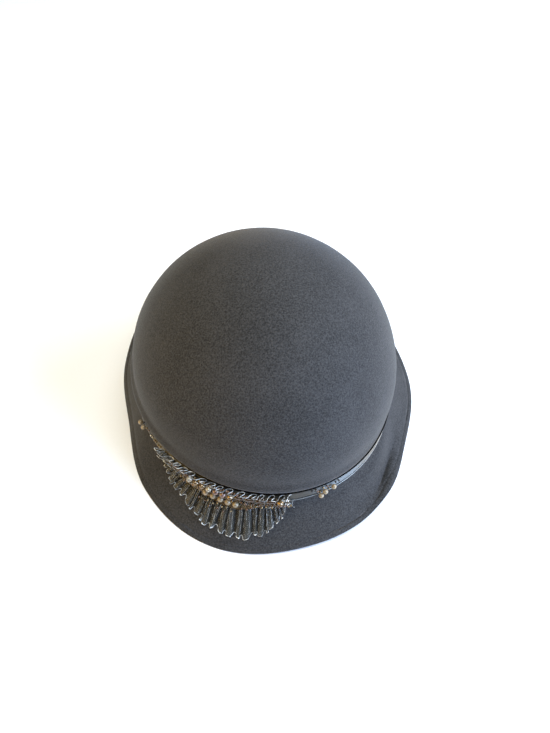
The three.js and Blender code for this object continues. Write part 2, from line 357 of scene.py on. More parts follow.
def add_sheet(name, columns, rows, shape, span=(1.0, 1.0)):
    """A flat grid, moved to shape(across, down), with a UV map in metres."""
    bpy.ops.object.select_all(action="DESELECT")
    bpy.ops.mesh.primitive_grid_add(x_subdivisions=columns, y_subdivisions=rows, size=1)
    piece = bpy.context.object
    piece.name = piece.data.name = name
    for corner in piece.data.uv_layers.active.data:
        corner.uv = (corner.uv[0] * span[0], corner.uv[1] * span[1])
    for point in piece.data.vertices:
        point.co = shape(point.co.x + 0.5, point.co.y + 0.5)
    return piece


def smooth_shade(piece, angle=None):
    select_only(piece)
    if angle is None:
        bpy.ops.object.shade_smooth()
    else:
        bpy.ops.object.shade_smooth_by_angle(angle=math.radians(angle))


def link_new(name, data):
    """A new object in the scene."""
    piece = bpy.data.objects.new(name, data)
    bpy.context.scene.collection.objects.link(piece)
    return piece


def settle_in(piece, slot, *materials, replaces=()):
    """Gives a finished piece its materials and its body, and hides what it replaces; the slot is not used.
    """
    piece.data.materials.clear()
    for material in materials:
        piece.data.materials.append(material)
    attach(piece, BODY)
    if replaces:
        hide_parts(*replaces)
    return piece


def scaled(profile, size):
    return [(radius * size, height * size) for radius, height in profile]


def turned_bead(name, profile, sides, facets=False):
    """A drilled bead, turned round its thread hole from a profile of (radius, height)."""
    mesh = bpy.data.meshes.new(name)
    count = len(profile)
    edges = [(k, (k + 1) % count) for k in range(count)]
    mesh.from_pydata([(radius, 0, height) for radius, height in profile], edges, [])
    bead = link_new(name, mesh)

    def spin_round():
        bpy.ops.mesh.spin(steps=sides, angle=2 * math.pi, center=(0, 0, 0), axis=(0, 0, 1))

    editing(bead, spin_round, merge_points, face_out)
    if facets:
        turn_alternate_rings(bead.data, profile, sides)
    else:
        smooth_shade(bead, 50)
    return bead


def turn_alternate_rings(mesh, profile, sides):
    """Turns every second ring by half a facet, and cuts the faces to triangles."""
    heights = [height for _, height in profile]
    for point in mesh.vertices:
        ring = min(range(len(profile)), key=lambda k: abs(heights[k] - point.co.z))
        if ring % 2:
            point.co = Matrix.Rotation(math.pi / sides, 3, "Z") @ point.co
    cut = bmesh.new()
    cut.from_mesh(mesh)
    bmesh.ops.triangulate(cut, faces=cut.faces)
    cut.to_mesh(mesh)
    cut.free()


def bead_matrix(centre, thread, size=1.0):
    turn = Vector(thread).to_track_quat("Z", "Y").to_matrix().to_4x4()
    return Matrix.Translation(centre) @ turn @ Matrix.Scale(size, 4)


def copy_bead(bead, name, centre, thread):
    """One bead at its place, with its own mesh."""
    mesh = bead.data.copy()
    mesh.name = name
    mesh.transform(bead_matrix(centre, thread))
    return link_new(name, mesh)


def strew_beads(bead, name, places):
    """Many copies of one bead as one piece. A place is a centre, a thread direction and a size."""
    heap = bmesh.new()
    for centre, thread, size in places:
        mesh = bead.data.copy()
        mesh.transform(bead_matrix(centre, thread, size))
        heap.from_mesh(mesh)
        bpy.data.meshes.remove(mesh)
    mesh = bpy.data.meshes.new(name)
    heap.to_mesh(mesh)
    heap.free()
    return link_new(name, mesh)


def drop_pattern(bead):
    """Removes a bead that was only a pattern for its copies."""
    mesh = bead.data
    bpy.data.objects.remove(bead)
    bpy.data.meshes.remove(mesh)


def add_threads(name, lines, radius, sides=2):
    """Round threads along lines of points, as one closed mesh."""
    curve = bpy.data.curves.new(name, "CURVE")
    curve.dimensions = "3D"
    curve.bevel_depth = radius
    curve.bevel_resolution = sides
    curve.use_fill_caps = True
    for points in lines:
        spline = curve.splines.new("POLY")
        spline.points.add(len(points) - 1)
        for place, point in zip(spline.points, points):
            place.co = (*point, 1)
    select_only(link_new(name, curve))
    bpy.ops.object.convert(target="MESH")
    piece = bpy.context.object
    smooth_shade(piece, 60)
    return piece


# Materials.


class Finish:
    """A material in the making: its Principled shader, and short ways to add and join nodes."""

    def __init__(self, name, **sockets):
        self.material = bpy.data.materials.new(name)
        self.material.use_nodes = True
        self.tree = self.material.node_tree
        self.shader = self.tree.nodes["Principled BSDF"]
        for socket, value in sockets.items():
            self.shader.inputs[socket.replace("_", " ")].default_value = value

    def node(self, kind, inputs=None, **settings):
        made = self.tree.nodes.new(kind)
        for name, value in settings.items():
            setattr(made, name, value)
        for name, value in (inputs or {}).items():
            if isinstance(value, bpy.types.NodeSocket):
                self.tree.links.new(value, made.inputs[name])
            else:
                made.inputs[name].default_value = value
        return made

    def place(self, kind="Object", scale=(1, 1, 1)):
        source = self.node("ShaderNodeTexCoord").outputs[kind]
        if tuple(scale) == (1, 1, 1):
            return source
        return self.node("ShaderNodeMapping", {"Vector": source, "Scale": scale}).outputs[0]

    def grain(self, vector, pitch, detail=4, roughness=0.6, distortion=0.0):
        """Noise whose grains are about pitch metres across."""
        sizes = {
            "Vector": vector,
            "Scale": 1 / pitch,
            "Detail": detail,
            "Roughness": roughness,
            "Distortion": distortion,
        }
        return self.node("ShaderNodeTexNoise", sizes).outputs[0]

    def weave(self, vector, pitch, way):
        """Threads that lie side by side, pitch metres apart."""
        scale = 2 * math.pi / (20 * pitch)
        sizes = {"Vector": vector, "Scale": scale, "Distortion": 0.6, "Detail": 1.0}
        return self.node("ShaderNodeTexWave", sizes, bands_direction=way).outputs[1]

    def sum(self, a, b, share=0.5):
        """The first value, with share of the second in its place."""
        part = self.node("ShaderNodeMath", {0: b, 1: share}, operation="MULTIPLY").outputs[0]
        rest = self.node("ShaderNodeMath", {0: a, 1: 1 - share}, operation="MULTIPLY").outputs[0]
        return self.node("ShaderNodeMath", {0: part, 1: rest}, operation="ADD").outputs[0]

    def larger(self, a, b):
        return self.node("ShaderNodeMath", {0: a, 1: b}, operation="MAXIMUM").outputs[0]

    def range(self, value, low, high, start=0.3, end=0.7):
        sizes = {"Value": value, "From Min": start, "From Max": end, "To Min": low, "To Max": high}
        return self.node("ShaderNodeMapRange", sizes).outputs[0]

    def colours(self, value, dark, light, start=0.3, end=0.7):
        ramp = self.node("ShaderNodeValToRGB", {"Fac": value})
        for stop, place, colour in zip(ramp.color_ramp.elements, (start, end), (dark, light)):
            stop.position = place
            stop.color = (*colour[:3], 1)
        return ramp.outputs[0]

    def drive(self, socket, value):
        self.tree.links.new(value, self.shader.inputs[socket])

    def tint(self, value, colour, dark, light, start=0.3, end=0.7):
        """Two shades of one colour, as the value goes from start to end."""
        shades = shade(colour, dark), shade(colour, light)
        self.drive("Base Color", self.colours(value, *shades, start, end))

    def rough(self, value, low, high, start=0.3, end=0.7):
        self.drive("Roughness", self.range(value, low, high, start, end))

    def emboss(self, height, strength, depth):
        bump = self.node("ShaderNodeBump", {"Height": height, "Strength": strength, "Distance": depth})
        self.drive("Normal", bump.outputs[0])


# Colours that a user has no setting for: dark and light, or one colour.
NET_COLOURS = ((0.04, 0.024, 0.011), (0.17, 0.115, 0.05))
THREAD_COLOURS = ((0.05, 0.035, 0.02), (0.14, 0.10, 0.06))
CLEAR_GLASS = (0.55, 0.50, 0.40)
ROSE_GLASS = (0.23, 0.135, 0.10)
SATIN_SHINE = (1.0, 1.0, 0.92, 1)
ORGANZA_SHEEN = (0.9, 0.9, 0.82, 1)


def shade(colour, factor):
    return tuple(min(1.0, part * factor) for part in colour[:3])


def felt_finish(look):
    """Close fur felt: fine mottled grain, a soft nap and no gloss."""
    felt = Finish(
        "grey_fur_felt",
        Sheen_Weight=look.nap,
        Sheen_Roughness=0.42,
        Sheen_Tint=(1, 1, 1, 1),
        Specular_IOR_Level=0.1,
    )
    place = felt.place()
    fine = felt.grain(place, look.grain, detail=3, roughness=0.6, distortion=0.5)
    broad = felt.grain(place, 30 * MM, detail=2)
    tone = felt.sum(fine, broad, 0.15)
    felt.tint(tone, look.colour, 0.5, 1.6, 0.36, 0.64)
    felt.rough(fine, 0.82, 1.0)
    fibres = felt.grain(place, 0.45 * MM, detail=4, roughness=0.75, distortion=1.6)
    felt.emboss(felt.sum(fine, fibres, 0.4), 0.7, look.grain_height)
    return felt.material


def cut_edge_finish(look):
    """The felt's cut edge, where the fibres stand open."""
    edge = Finish(
        "felt_cut_edge",
        Sheen_Weight=0.35,
        Sheen_Roughness=0.5,
        Specular_IOR_Level=0.15,
    )
    place = edge.place()
    layers = edge.grain(edge.place(scale=(1, 1, 3)), 0.7 * MM, detail=5, roughness=0.7, distortion=1)
    edge.tint(layers, look.colour, 0.9, 1.9)
    edge.rough(layers, 0.85, 1.0)
    edge.emboss(edge.grain(place, 0.35 * MM, detail=4, roughness=0.7), 0.7, 0.3 * MM)
    return edge.material


def satin_finish(name, colour, rough, grain=0.0, gloss=1.0):
    """Silk satin: long floats that lie round the band, with a fine cross rib."""
    satin = Finish(
        name,
        IOR=1.7,
        Specular_IOR_Level=gloss,
        Specular_Tint=SATIN_SHINE,
        Anisotropic=grain,
        Anisotropic_Rotation=0.25,
    )
    floats = satin.grain(satin.place("UV", (0.02, 1, 1)), 0.35 * MM, detail=3)
    ribs = satin.weave(satin.place("UV"), 0.4 * MM, "X")
    satin.tint(floats, colour, 0.8, 1.15)
    satin.rough(floats, rough - 0.06, rough + 0.1)
    satin.emboss(satin.sum(floats, ribs, 0.4), 0.25, 0.06 * MM)
    return satin.material


def organza_finish(look, pleat):
    """Sheer organza in a plain open weave, densest where its pleats fold back, pleat metres apart; its
    colour has painted shade in the valleys between the pleats and painted light on their crests.
    """
    cloth = Finish(
        "smoke_organza",
        Specular_IOR_Level=0.6,
        Sheen_Weight=0.3,
        Sheen_Roughness=0.3,
        Sheen_Tint=ORGANZA_SHEEN,
    )
    place = cloth.place("UV")
    warp = cloth.weave(place, look.thread_pitch, "X")
    weft = cloth.weave(place, look.thread_pitch, "Y")
    threads = cloth.larger(warp, weft)
    # The pleat pattern paints shade and light: the colour is dark and more opaque in the valleys between
    # the pleats, and light on their crests.
    folds_with_painted_light = cloth.sum(threads, cloth.weave(place, pleat, "X"), 0.75)
    cloth.tint(folds_with_painted_light, look.organza, 0.16, 1.0, 0.25, 0.85)
    sewn = cloth.node("ShaderNodeSeparateXYZ", {"Vector": place}).outputs[1]
    gathered = cloth.range(sewn, 0.95, 0.0, 2.5 * MM, 9 * MM)
    cloth.drive("Alpha", cloth.larger(cloth.range(folds_with_painted_light, 3 * look.cover, look.cover, 0.2, 0.8), gathered))
    cloth.rough(threads, 0.42, 0.24, 0.2, 0.95)
    cloth.emboss(threads, 0.3, 0.08 * MM)
    return cloth.material


def net_finish():
    """Fine brown net of mottled tone, more opaque along its threads."""
    net = Finish("amber_net", Specular_IOR_Level=0.6, Sheen_Weight=0.2, Sheen_Roughness=0.4)
    place = net.place("UV")
    warp = net.weave(place, 0.7 * MM, "DIAGONAL")
    tone = net.grain(net.place(), 2.2 * MM, detail=3)
    net.drive("Base Color", net.colours(tone, *NET_COLOURS))
    net.drive("Alpha", net.range(warp, 0.6, 0.95, 0.2, 0.9))
    net.rough(tone, 0.3, 0.55)
    net.emboss(warp, 0.4, 0.1 * MM)
    return net.material


def edge_thread_finish(name, colour):
    """The bright twisted thread that binds the organza's edge, or its pressed folds, with patches of
    painted glint that make it darker and brighter along its length.
    """
    thread = Finish(name, Specular_IOR_Level=1.0, Sheen_Weight=0.3, Coat_Weight=0.2)
    place = thread.place()
    strands = thread.grain(place, 0.5 * MM, detail=2)
    painted_glint = thread.grain(place, 2.5 * MM, detail=1)
    # Painted glint: patches along the thread go from dark to bright.
    thread.tint(painted_glint, colour, 0.15, 1.2, 0.42, 0.68)
    thread.rough(strands, 0.18, 0.4)
    thread.emboss(strands, 0.4, 0.1 * MM)
    return thread.material


def pearl_finish(look):
    """Nacre: a warm, slightly uneven body under a clear gloss."""
    pearl = Finish("cream_pearl", Specular_IOR_Level=0.6, Coat_Weight=0.4, Coat_Roughness=0.1)
    cloud = pearl.grain(pearl.place(), 1.6 * MM, detail=2)
    pearl.tint(cloud, look.pearl, 0.82, 1.1)
    pearl.rough(cloud, 0.2, 0.34)
    pearl.emboss(cloud, 0.08, 0.1 * MM)
    return pearl.material


def glass_finish(name, colour, clear, metal=0.0):
    """Coloured glass beads, some with a metal bloom on their facets."""
    glass = Finish(
        name,
        IOR=1.55,
        Transmission_Weight=clear,
        Metallic=metal,
        Specular_IOR_Level=0.7,
        Coat_Weight=0.3,
        Coat_Roughness=0.08,
    )
    streak = glass.grain(glass.place(), 1.2 * MM, detail=2)
    glass.tint(streak, colour, 0.7, 1.25)
    glass.rough(streak, 0.1, 0.26)
    glass.emboss(streak, 0.05, 0.05 * MM)
    return glass.material


# The settings that a user would change.


def colour_setting(name, description, colour):
    return bpy.props.FloatVectorProperty(
        name=name, description=description, subtype="COLOR", size=3, min=0, max=1, default=colour
    )


def share_setting(name, description, share):
    return bpy.props.FloatProperty(
        name=name, description=description, subtype="FACTOR", min=0, max=1, default=share
    )


def length_setting(name, description, length):
    return bpy.props.FloatProperty(name=name, description=description, unit="LENGTH", default=length)


def power_setting(name, description, power):
    return bpy.props.FloatProperty(name=name, description=description, unit="POWER", default=power)


class HatFeltLook(bpy.types.PropertyGroup):
    colour: colour_setting("Felt colour", "Colour of the felt's face", (0.035, 0.0345, 0.0348))
    nap: share_setting(
        "Nap", "How much the felt's fine fibres catch light that comes from the side", 0.16
    )
    grain: length_setting("Grain", "Width of the mottled grains", 0.95 * MM)
    grain_height: length_setting("Grain height", "How far the grains stand out", 0.25 * MM)
    unevenness: length_setting(
        "Unevenness", "How far the pressed felt departs from its block", 0.22 * MM
    )


class HatTrimLook(bpy.types.PropertyGroup):
    satin: colour_setting("Satin colour", "Colour of the band", (0.022, 0.018, 0.015))
    piping: colour_setting(
        "Piping colour", "Colour of the corded edge under the band", (0.10, 0.105, 0.11)
    )
    organza: colour_setting("Organza colour", "Colour of the sheer cloth's threads", (0.15, 0.147, 0.12))
    edge_thread: colour_setting(
        "Edge thread colour", "Colour of the thread that binds the organza", (0.70, 0.72, 0.71)
    )
    cover: share_setting("Cover", "How much of what lies under the organza its threads hide", 0.15)
    thread_pitch: length_setting(
        "Thread pitch", "Distance from one organza thread to the next", 0.32 * MM
    )
    organza_thickness: length_setting("Organza thickness", "Thickness of the sheer cloth", 0.12 * MM)
    edge_radius: length_setting(
        "Edge thread radius", "Radius of the thread along the organza's free edges", 0.18 * MM
    )
    crease_radius: length_setting(
        "Crease radius", "Radius of the pressed folds along the pleats", 0.09 * MM
    )


class HatBeadLook(bpy.types.PropertyGroup):
    pearl: colour_setting("Pearl colour", "Colour of the pearls", (0.28, 0.215, 0.13))
    amber: colour_setting("Amber colour", "Colour of the cut beads", (0.25, 0.16, 0.07))
    brown: colour_setting("Brown glass colour", "Colour of the long beads", (0.075, 0.038, 0.018))
    seed_radius: length_setting("Seed bead radius", "Radius of the seed beads", 0.85 * MM)
    thread_radius: length_setting(
        "Thread radius", "Radius of the thread that the beads hang on", 0.13 * MM
    )


class HatStageLook(bpy.types.PropertyGroup):
    floor: colour_setting("Floor colour", "Colour of the plain floor", (0.93, 0.93, 0.93))
    side_light: power_setting("Side light", "Power of the large neutral light at the right", 13.5)
    window_light: power_setting("Window light", "Power of the cool light in front, at the right", 22.0)
    top_light: power_setting("Top light", "Power of the light over the hat", 20.0)
    room_light: power_setting("Room light", "Power of the weak warm light at the left", 7.2)


def felt_look():
    return bpy.context.scene.hat_felt


def trim_look():
    return bpy.context.scene.hat_trim


def bead_look():
    return bpy.context.scene.hat_beads


# The pieces.


class HAT_OT_felt(bpy.types.Operator):
    """Presses the crown and brim from one piece of felt"""

    bl_idname = "hat.felt"
    bl_label = "Felt crown and brim"

    COLUMNS = 240
    CROWN_ROWS = 66
    SEAT_ROWS = 6
    BRIM_ROWS = 36

    # The swell over the band, how high it lies, and the gap in the felt behind the band's top, in
    # millimetres. A side has its bearing and spread in degrees, and what it adds to the swell.
    SWELL = 1.7
    SWELL_RISE = 1.8
    SWELL_SIDES = ((-85, 38, 1.2), (60, 34, -1.5))
    GAP_DEPTH = 0.6

    def station(self, down):
        """Rows that lie closest where the felt turns most."""
        row = down * (self.CROWN_ROWS + self.SEAT_ROWS + self.BRIM_ROWS)
        if row <= self.CROWN_ROWS:
            share = row / self.CROWN_ROWS
            return share * (1.8 - 0.8 * share)
        row -= self.CROWN_ROWS
        if row <= self.SEAT_ROWS:
            return 1 + row / self.SEAT_ROWS
        return 3 - (1 - (row - self.SEAT_ROWS) / self.BRIM_ROWS) ** 1.4

    def bulge(self, bearing, rise):
        """How far the felt swells out just over the tight band, for a rise over the band's top."""
        if rise < 0:
            gap = self.GAP_DEPTH * smooth(rise, -2.4, -1) * smooth(-rise, 0, 0.8)
            return -0.35 * smooth(rise, -BAND_HEIGHT, -3) - gap
        swell = self.SWELL
        for at, spread, more in self.SWELL_SIDES:
            swell += more * hump(turn_from(at, bearing), spread)
        over = rise - self.SWELL_RISE
        return swell * hump(over, 1.0 if over < 0 else 4.5) - 0.3 * smooth(1 - rise, 0, 1)

    def execute(self, context):
        look = felt_look()
        rows = self.CROWN_ROWS + self.SEAT_ROWS + self.BRIM_ROWS

        def shape(across, down):
            bearing, station = 360 * across, self.station(down)
            point = felt_inside(bearing, station)
            out = beside_head(bearing, 1.0, 0) - beside_head(bearing, 0, 0)
            if station > 2:
                point.z -= gutter_depth(bearing, station - 2) + edge_line_depth(bearing, station - 2)
            return in_frame(point + out * self.bulge(bearing, point.z - SEAT_TOP))

        felt = add_sheet("pressed_felt", self.COLUMNS, rows, shape)
        editing(felt, merge_points)
        middle = Vector((HEAD_X, HEAD_Y, SEAT_TOP)) * MM
        outward = sum(f.normal.dot(f.center - middle) * f.area for f in felt.data.polygons)
        if outward < 0:
            editing(felt, bpy.ops.mesh.flip_normals)
        finish_with(
            felt,
            "SOLIDIFY",
            thickness=FELT_WALL * MM,
            offset=1,
            use_even_offset=True,
            material_offset_rim=1,
        )
        finish_with(
            felt,
            "BEVEL",
            width=0.7 * MM,
            segments=3,
            limit_method="ANGLE",
            angle_limit=math.radians(60),
            material=1,
        )
        mesh = felt.data
        normals = [point.normal.copy() for point in mesh.vertices]
        for point, normal in zip(mesh.vertices, normals):
            place = point.co / (38 * MM)
            wave = noise.noise(place) + 0.4 * noise.noise(place * 2.7)
            point.co += normal * wave * look.unevenness
            point.co.z = max(0.0, point.co.z)
        smooth_shade(felt)
        settle_in(felt, "felt", felt_finish(look), cut_edge_finish(look), replaces=[FELT])
        for face in mesh.polygons:
            face.material_index = min(face.material_index, 1)
        return {"FINISHED"}


class HAT_OT_band(bpy.types.Operator):
    """Lays the satin band and its corded edge round the foot of the crown"""

    bl_idname = "hat.band"
    bl_label = "Satin band"

    COLUMNS = 360
    ROWS = 18

    # How far the ribbon rolls out between its edges, and its creases and unevenness, in millimetres.
    ROLL = 0.85
    CREASE = 0.22
    EASE = 0.14

    def execute(self, context):
        look = trim_look()
        girth = math.pi * (HEAD_LENGTH + HEAD_WIDTH + 4 * FELT_WALL) / 2 * MM
        foot = 2 * PIPING_RADIUS + CLEARANCE
        height = BAND_HEIGHT - foot - BAND_HEM

        def band_shape(across, up):
            bearing = 360 * across
            turn = math.radians(bearing)
            roll = smooth(up, -0.04, 0.1) * (1 - smooth(up, 0.74, 1.0))
            ease = wander(9 * math.cos(turn), 9 * math.sin(turn), 4 * up)
            crease = hump(up - 0.12, 0.05) + 0.5 * hump(up - 0.55, 0.06)
            proud = CLEARANCE + self.ROLL * roll - self.CREASE * crease + self.EASE * ease * roll
            return on_band(bearing, foot + height * up, proud)

        band = add_sheet("satin_ribbon", self.COLUMNS, self.ROWS, band_shape, (girth, height * MM))
        editing(band, merge_points)
        self.turn_out(band)
        finish_with(band, "SOLIDIFY", thickness=RIBBON_THICK * MM, offset=-1, use_even_offset=True)
        smooth_shade(band, 60)
        settle_in(band, "satin", satin_finish("slate_satin", look.satin, 0.5, 1.0), replaces=["satin_band"])

        silver = satin_finish("silver_piping", look.piping, 0.3)
        # Painted shadow: a near-black, almost glossless cord under the felt's swell, where the band lies in
        # shade.
        shadow_black = satin_finish("black_cord", shade(look.satin, 0.2), 0.85, gloss=0.04)
        self.cord("satin_piping", 0.5, 0.2 + PIPING_RADIUS, 0.55 * PIPING_RADIUS, silver, ["band_piping"])
        self.cord("band_top_cord", foot + height - 0.2, 1.05, SHADOW_CORD_RADIUS, shadow_black)
        return {"FINISHED"}

    def cord(self, name, height, proud, radius, finish, replaces=()):
        """A cord that runs round the hat along an edge of the band."""

        def cord_shape(across, turn):
            a = -2 * math.pi * turn
            return on_band(360 * across, height + radius * math.sin(a), proud + radius * math.cos(a))

        ring = add_sheet(name, 480, 8, cord_shape)
        editing(ring, merge_points, face_out)
        smooth_shade(ring)
        settle_in(ring, "satin", finish, replaces=replaces)

    def turn_out(self, ring):
        middle = Vector((HEAD_X, HEAD_Y, BRIM_FALL)) * MM
        if sum(f.normal.dot(f.center - middle) for f in ring.data.polygons) < 0:
            editing(ring, bpy.ops.mesh.flip_normals)


# Cloth that is turned under at a ruffle's sewn edge, in millimetres.
SEAM_ALLOWANCE = 2.2
FAN_PLEATS = 30
SHORT_PLEATS = 15
CROWN_PLEATS = 15


def fan_point(along, out, layer=0.0):
    """A point of the long organza fan. Layer is in millimetres over its face."""
    pleat = along * FAN_PLEATS
    own = wander(pleat * 0.9, 0.4, 5.2)
    shift, crest = pleat_wave(pleat, 0.4 * out, 0.2)
    lean = 0.9 * wander(pleat * 0.34, 2.1, 0.3) + 0.7 * wander(pleat * 0.8, 4.6, out * 2.2)
    shift += lean * out
    height = between(FAN_HEIGHTS, out) * (1 + 0.45 * own * out)
    reach = out * (1 - 0.03 * (1 - crest) * out + 0.04 * own * out)
    bearing, station = ruffle_place(FAN_SEWN, FAN_FREE, along + shift / FAN_PLEATS, reach)
    curl = 0.5 * smooth(out, 0.88, 1.0) * crest
    return on_felt(bearing, station, rest_height(station) + 0.15 + height * crest + curl + layer)


def short_fan_point(along, out):
    """A point of the short organza layer over the fan, which shows most at the fan's ends."""
    pleat = along * SHORT_PLEATS + 0.35
    shift, crest = pleat_wave(pleat, 0.55 * out, 0.2)
    own = wander(pleat * 0.8, 7.7, 1.1)
    shift += 0.7 * own * out
    width = 0.48 + 0.42 * abs(2 * along - 1) ** 1.5 + 0.05 * own
    reach = width * out * (1 - 0.12 * (1 - crest))
    bearing, station = ruffle_place(FAN_SEWN, FAN_FREE, along + shift / SHORT_PLEATS, reach)
    under = between(FAN_HEIGHTS, reach) * (1 + 0.25 * reach)
    return on_felt(bearing, station, rest_height(station) + 0.3 + under + 0.9 * crest * (0.3 + 0.7 * out))


def crown_ruffle_point(along, out):
    """A point of the ruffle that stands against the crown in close loops."""
    pleat = along * CROWN_PLEATS
    own = wander(pleat * 0.8, 9.4, 3.3)
    shift, crest = pleat_wave(pleat, 0.9 * out, 0.1)
    shift += (0.45 * own + 0.3 * wander(pleat * 0.35, 1.2, 8.1) + 0.5 * crest) * out
    reach = out * (0.95 + 0.1 * own + 0.08 * crest)
    bearing, station = ruffle_place(CROWN_SEWN, CROWN_FREE, along + shift / CROWN_PLEATS, reach)
    height = (0.3 + 4.0 * smooth(out, 0.3, 1)) * (1 + 0.35 * own)
    return on_felt(bearing, station, rest_height(station) + 0.1 + height * crest)


def length_of(points):
    return sum((b - a).length for a, b in zip(points, points[1:]))


def flat_size(point, columns):
    """(width, length) of the curved strip that a ruffle was cut from, along its middle line."""
    middle = [point(k / columns, 0.5) for k in range(columns + 1)]
    widths = [length_of([point(k / 40, j / 30) for j in range(31)]) for k in range(41)]
    return sum(widths) / len(widths) + SEAM_ALLOWANCE * MM, length_of(middle)


class HAT_OT_organza(bpy.types.Operator):
    """Gathers the organza into a fan on the brim and a ruffle against the crown"""

    bl_idname = "hat.organza"
    bl_label = "Organza ruffles"

    KNOT_RADIUS = 0.42
    NET_COLUMNS = 200
    CREASE_STEPS = 18

    edge_material = None
    fold_highlight_material = None

    def ruffle(self, name, point, pleats, steps, rows, replaces=(), folds_with_painted_light=()):
        look = trim_look()
        columns = pleats * steps
        edge = [point(k / columns, 1.0) for k in range(columns + 1)]
        flat = flat_size(point, columns)
        cloth = add_sheet(name, columns, rows, point, (flat[1], flat[0]))
        finish_with(cloth, "SOLIDIFY", thickness=look.organza_thickness, offset=0)
        smooth_shade(cloth, 70)
        settle_in(cloth, "organza", organza_finish(look, flat[1] / pleats), replaces=replaces)
        thread = add_threads(name + "_edge", [edge], look.edge_radius)
        settle_in(thread, "organza", self.edge_material)
        if folds_with_painted_light:
            creases = add_threads(name + "_creases", folds_with_painted_light, look.crease_radius)
            settle_in(creases, "organza", self.fold_highlight_material)

    def creases(self, point, pleats, sides):
        """Lines along the sides of each pleat, where the cloth is pressed double; they are light threads
        that also stand in for the painted highlight where the cloth is seen edge on.
        """
        draw = random.Random(3)
        lines = []
        for number in range(pleats):
            for side in sides:
                start, end = draw.uniform(0.3, 0.7), draw.uniform(0.8, 1.0)
                place = (number + side + draw.uniform(-0.09, 0.09)) / pleats
                lean, bow = draw.uniform(-0.35, 0.35) / pleats, draw.uniform(-0.25, 0.25) / pleats
                line = []
                for k in range(self.CREASE_STEPS + 1):
                    share = k / self.CREASE_STEPS
                    out = start + (end - start) * share
                    aside = lean * (1 - out) + bow * math.sin(math.pi * share)
                    line.append(point(place + aside, out, 0.12))
                lines.append(line)
        return lines

    def execute(self, context):
        look = trim_look()
        self.edge_material = edge_thread_finish("silver_edge_thread", look.edge_thread)
        # The fold threads are a dimmer copy of the edge thread: partly the doubled cloth, and partly
        # painted highlight.
        self.fold_highlight_material = edge_thread_finish("organza_fold", shade(look.edge_thread, 0.45))
        folds_with_painted_light = self.creases(fan_point, FAN_PLEATS, (0.26, 0.5, 0.74))
        self.ruffle("organza_fan", fan_point, FAN_PLEATS, 14, 34, ["fan_ruffle"], folds_with_painted_light)
        self.ruffle("organza_short_layer", short_fan_point, SHORT_PLEATS, 18, 14)
        self.ruffle("organza_crown_ruffle", crown_ruffle_point, CROWN_PLEATS, 26, 12, ["crown_ruffle"])
        self.knots()
        self.bead_net()
        return {"FINISHED"}

    def bead_net(self):
        """The small crescent of brown net that the beads are sewn to."""

        def net_point(along, out):
            place = out * self.net_width(along) - 0.12
            bearing, station = ruffle_place(FAN_SEWN, FAN_FREE, 0.06 + 0.93 * along, place)
            over = 0.75 + between(FAN_HEIGHTS, max(0.0, place)) + 0.12 * wander(along * 30, out * 5, 2.2)
            return on_felt(bearing, station, rest_height(station) + over)

        flat = flat_size(net_point, self.NET_COLUMNS)
        net = add_sheet("bead_net", self.NET_COLUMNS, 16, net_point, (flat[1], flat[0]))
        finish_with(net, "SOLIDIFY", thickness=trim_look().organza_thickness, offset=0)
        smooth_shade(net, 70)
        settle_in(net, "organza", net_finish())

    def net_width(self, along):
        return 0.2 + 0.44 * smooth(along, 0.05, 0.3) + 0.2 * math.sin(math.pi * along)

    def knots(self):
        """Small knots where the edge thread turns at the tip of each pleat."""
        pattern = turned_bead("knot", scaled(arc(1.0, 0.25, 8), self.KNOT_RADIUS * MM), 10)
        draw = random.Random(11)
        places = []
        for number in range(FAN_PLEATS):
            along = (number + 0.5 + draw.uniform(-0.12, 0.12)) / FAN_PLEATS
            way = fan_point(along + 0.004, 1.0) - fan_point(along - 0.004, 1.0)
            places.append((fan_point(along, 1.0, 0.1), way, draw.uniform(0.8, 1.25)))
        knots = strew_beads(pattern, "organza_edge_knots", places)
        smooth_shade(knots, 60)
        settle_in(knots, "organza", self.edge_material)
        drop_pattern(pattern)


def node_middle(node):
    low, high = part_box(node)
    return (low + high) / 2


def row_of(kind):
    """The CAD beads of one kind, in order."""
    names = [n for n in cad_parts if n.rsplit("_", 1)[0] == kind]
    return sorted(names, key=lambda n: int(n.rsplit("_", 1)[1]))


def thread_ways(names):
    """The thread's direction at each bead of a row, from its neighbours."""
    middles = [node_middle(n) for n in names]
    ways = []
    for k in range(len(names)):
        before, after = middles[max(0, k - 1)], middles[min(len(names) - 1, k + 1)]
        ways.append((after - before).normalized())
    return middles, ways


def arc(radius, hole, steps):
    """A round bead's profile, from one end of its hole to the other."""
    most = math.acos(hole / radius)
    angles = [most * (2 * k / steps - 1) for k in range(steps + 1)]
    return [(radius * math.cos(a), radius * math.sin(a)) for a in angles]


# The main beads' radii in millimetres: a round bead's own, or the room that a cut or long one takes.
MAIN_BEADS = {"pearl": 2.0, "small_pearl": 1.7, "crystal": 1.9, "bugle": 1.6}

# Profiles from one end of the thread hole to the other: radius and height, in millimetres.
CRYSTAL_PROFILE = (
    (0.4, -1.8),
    (1.05, -1.8),
    (1.75, -0.95),
    (2.1, 0),
    (1.75, 0.95),
    (1.05, 1.8),
    (0.4, 1.8),
)
BUGLE_PROFILE = ((0.5, -2.8), (1.0, -2.8), (1.2, -2.55), (1.2, 2.55), (1.0, 2.8), (0.5, 2.8))

# A seed bead's profile, in shares of its radius.
SEED_PROFILE = ((0.36, -0.5), (0.72, -0.56), (0.94, -0.3), (1, 0), (0.94, 0.3), (0.72, 0.56), (0.36, 0.5))


